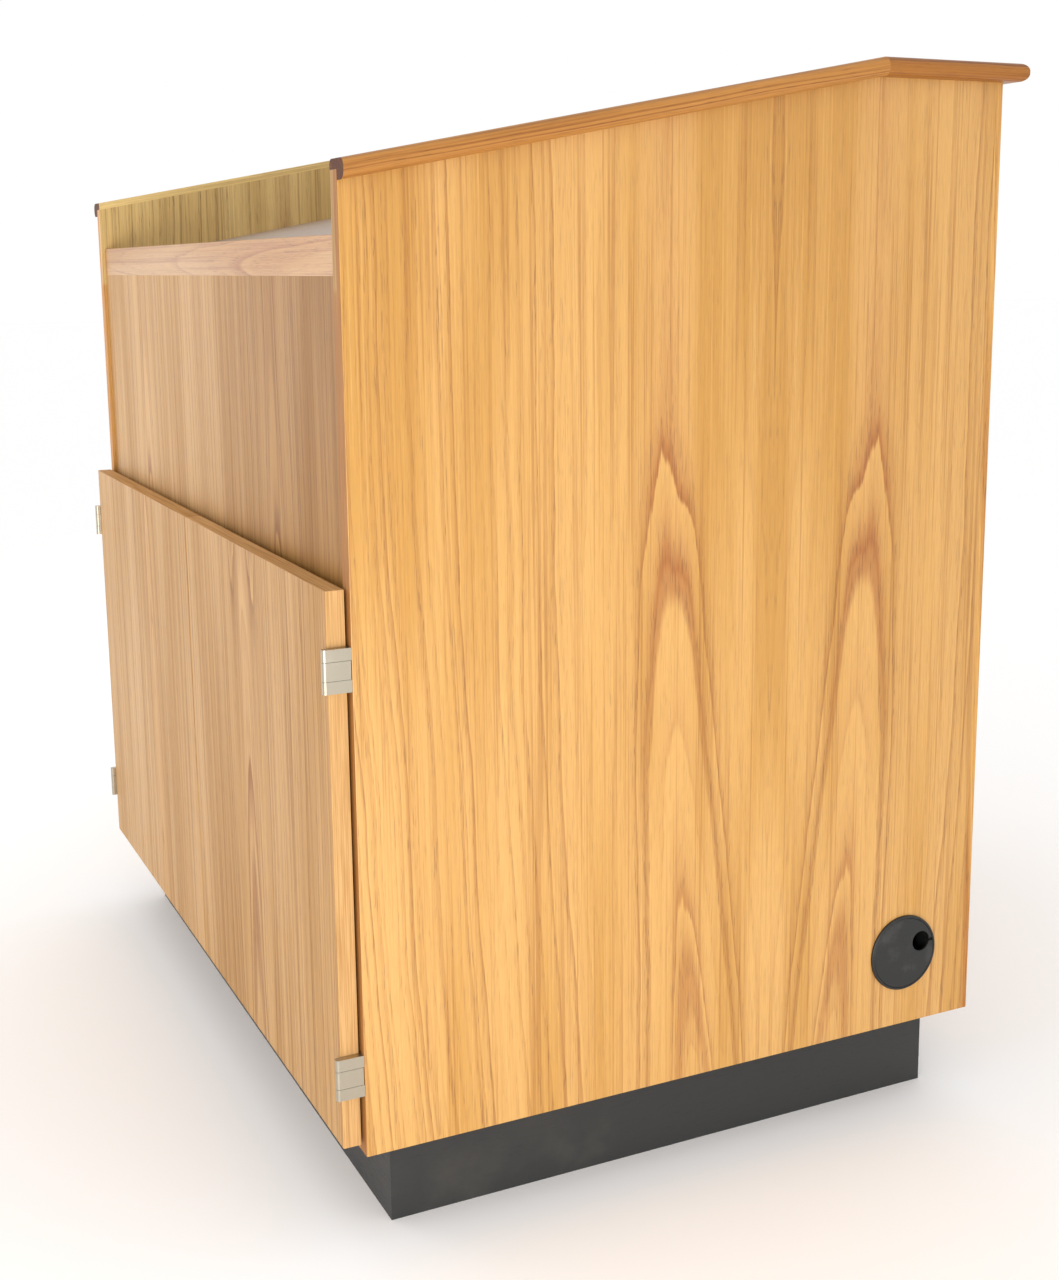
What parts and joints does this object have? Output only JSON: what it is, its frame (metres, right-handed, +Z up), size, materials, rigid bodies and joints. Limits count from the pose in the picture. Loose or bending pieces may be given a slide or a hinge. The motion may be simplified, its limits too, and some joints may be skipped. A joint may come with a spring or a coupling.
{
  "type": "media cabinet",
  "caption": "Lectern-style media cabinet with a sloped work surface, raised trimmed sides, two wide-swing doors, a recessed base and a cable grommet.",
  "frame": {"origin": "on the floor at the centre of the base, under the middle of the sleeper", "axes": "+Z up; +X to the right of a user who faces the doors; +Y away from that user, towards the audience side"},
  "size_m": [1.1304, 0.8099, 1.1897],
  "materials": {
    "oak_veneer": "satin clear lacquer on oak veneer",
    "oak_solid": "satin clear lacquer on solid oak",
    "birch_ply": "plain plywood",
    "black_laminate": "matt black laminate on board",
    "grey_laminate": "matt grey laminate",
    "satin_nickel": "satin nickel plate",
    "zinc_steel": "zinc plate",
    "black_steel": "black powder coat",
    "black_plastic": "matt moulded plastic",
    "bumper_rubber": "soft grey"
  },
  "bodies": {
    "carcass": {"adjustable_shelf": "oak_veneer", "audience_panel": "oak_veneer", "audience_trim": "oak_solid", "base_sleeper": "birch_ply", "bottom_panel": "oak_veneer", "centre_partition": "oak_veneer", "corner_strip_left": "oak_solid", "corner_strip_right": "oak_solid", "door_catch_left": "black_plastic", "door_catch_right": "black_plastic", "grommet_liner": "black_plastic", "hinge_frame_leaf_left_lower": "satin_nickel", "hinge_frame_leaf_left_upper": "satin_nickel", "hinge_frame_leaf_right_lower": "satin_nickel", "hinge_frame_leaf_right_upper": "satin_nickel", "hinge_pin_left_lower": "satin_nickel", "hinge_pin_left_upper": "satin_nickel", "hinge_pin_right_lower": "satin_nickel", "hinge_pin_right_upper": "satin_nickel", "hinge_screws_frame": "zinc_steel", "pencil_rail": "oak_solid", "rack_rail_partition": "black_steel", "rack_rail_screws": "zinc_steel", "rack_rail_side": "black_steel", "riser": "oak_veneer", "shelf_pegs": "zinc_steel", "side_panel_left": "oak_veneer", "side_panel_right": "oak_veneer", "side_trim_level_left": "oak_solid", "side_trim_level_right": "oak_solid", "side_trim_slope_left": "oak_solid", "side_trim_slope_right": "oak_solid", "surface_cleat_left": "birch_ply", "surface_cleat_right": "birch_ply", "toe_board_audience_side": "black_laminate", "toe_board_door_side": "black_laminate", "toe_board_left": "black_laminate", "toe_board_right": "black_laminate", "top_shelf": "oak_veneer", "upper_panel": "oak_veneer", "work_surface_core": "birch_ply", "work_surface_laminate": "grey_laminate"},
    "right_door": {"door_bumpers_right": "bumper_rubber", "door_hinge_leaf_right_lower": "satin_nickel", "door_hinge_leaf_right_upper": "satin_nickel", "door_right": "oak_veneer", "hinge_screws_door_right": "zinc_steel", "strike_plate_right": "zinc_steel"},
    "left_door": {"door_bumpers_left": "bumper_rubber", "door_hinge_leaf_left_lower": "satin_nickel", "door_hinge_leaf_left_upper": "satin_nickel", "door_left": "oak_veneer", "hinge_screws_door_left": "zinc_steel", "strike_plate_left": "zinc_steel"},
    "cable_cap": {"grommet_cap": "black_plastic"}
  },
  "joints": [
    {"name": "right_door_hinge", "type": "hinge", "parent": "carcass", "child": "right_door", "pos_m": [0.543, -0.4065, 0.3977], "axis": [0, 0, 1], "range_deg": [0, 270]},
    {"name": "left_door_hinge", "type": "hinge", "parent": "carcass", "child": "left_door", "pos_m": [-0.543, -0.4065, 0.3977], "axis": [0, 0, -1], "range_deg": [0, 270]},
    {"name": "cable_cap_turn", "type": "hinge", "parent": "carcass", "child": "cable_cap", "pos_m": [0.5461, 0.2824, 0.1904], "axis": [1, 0, 0], "continuous": true}
  ]
}
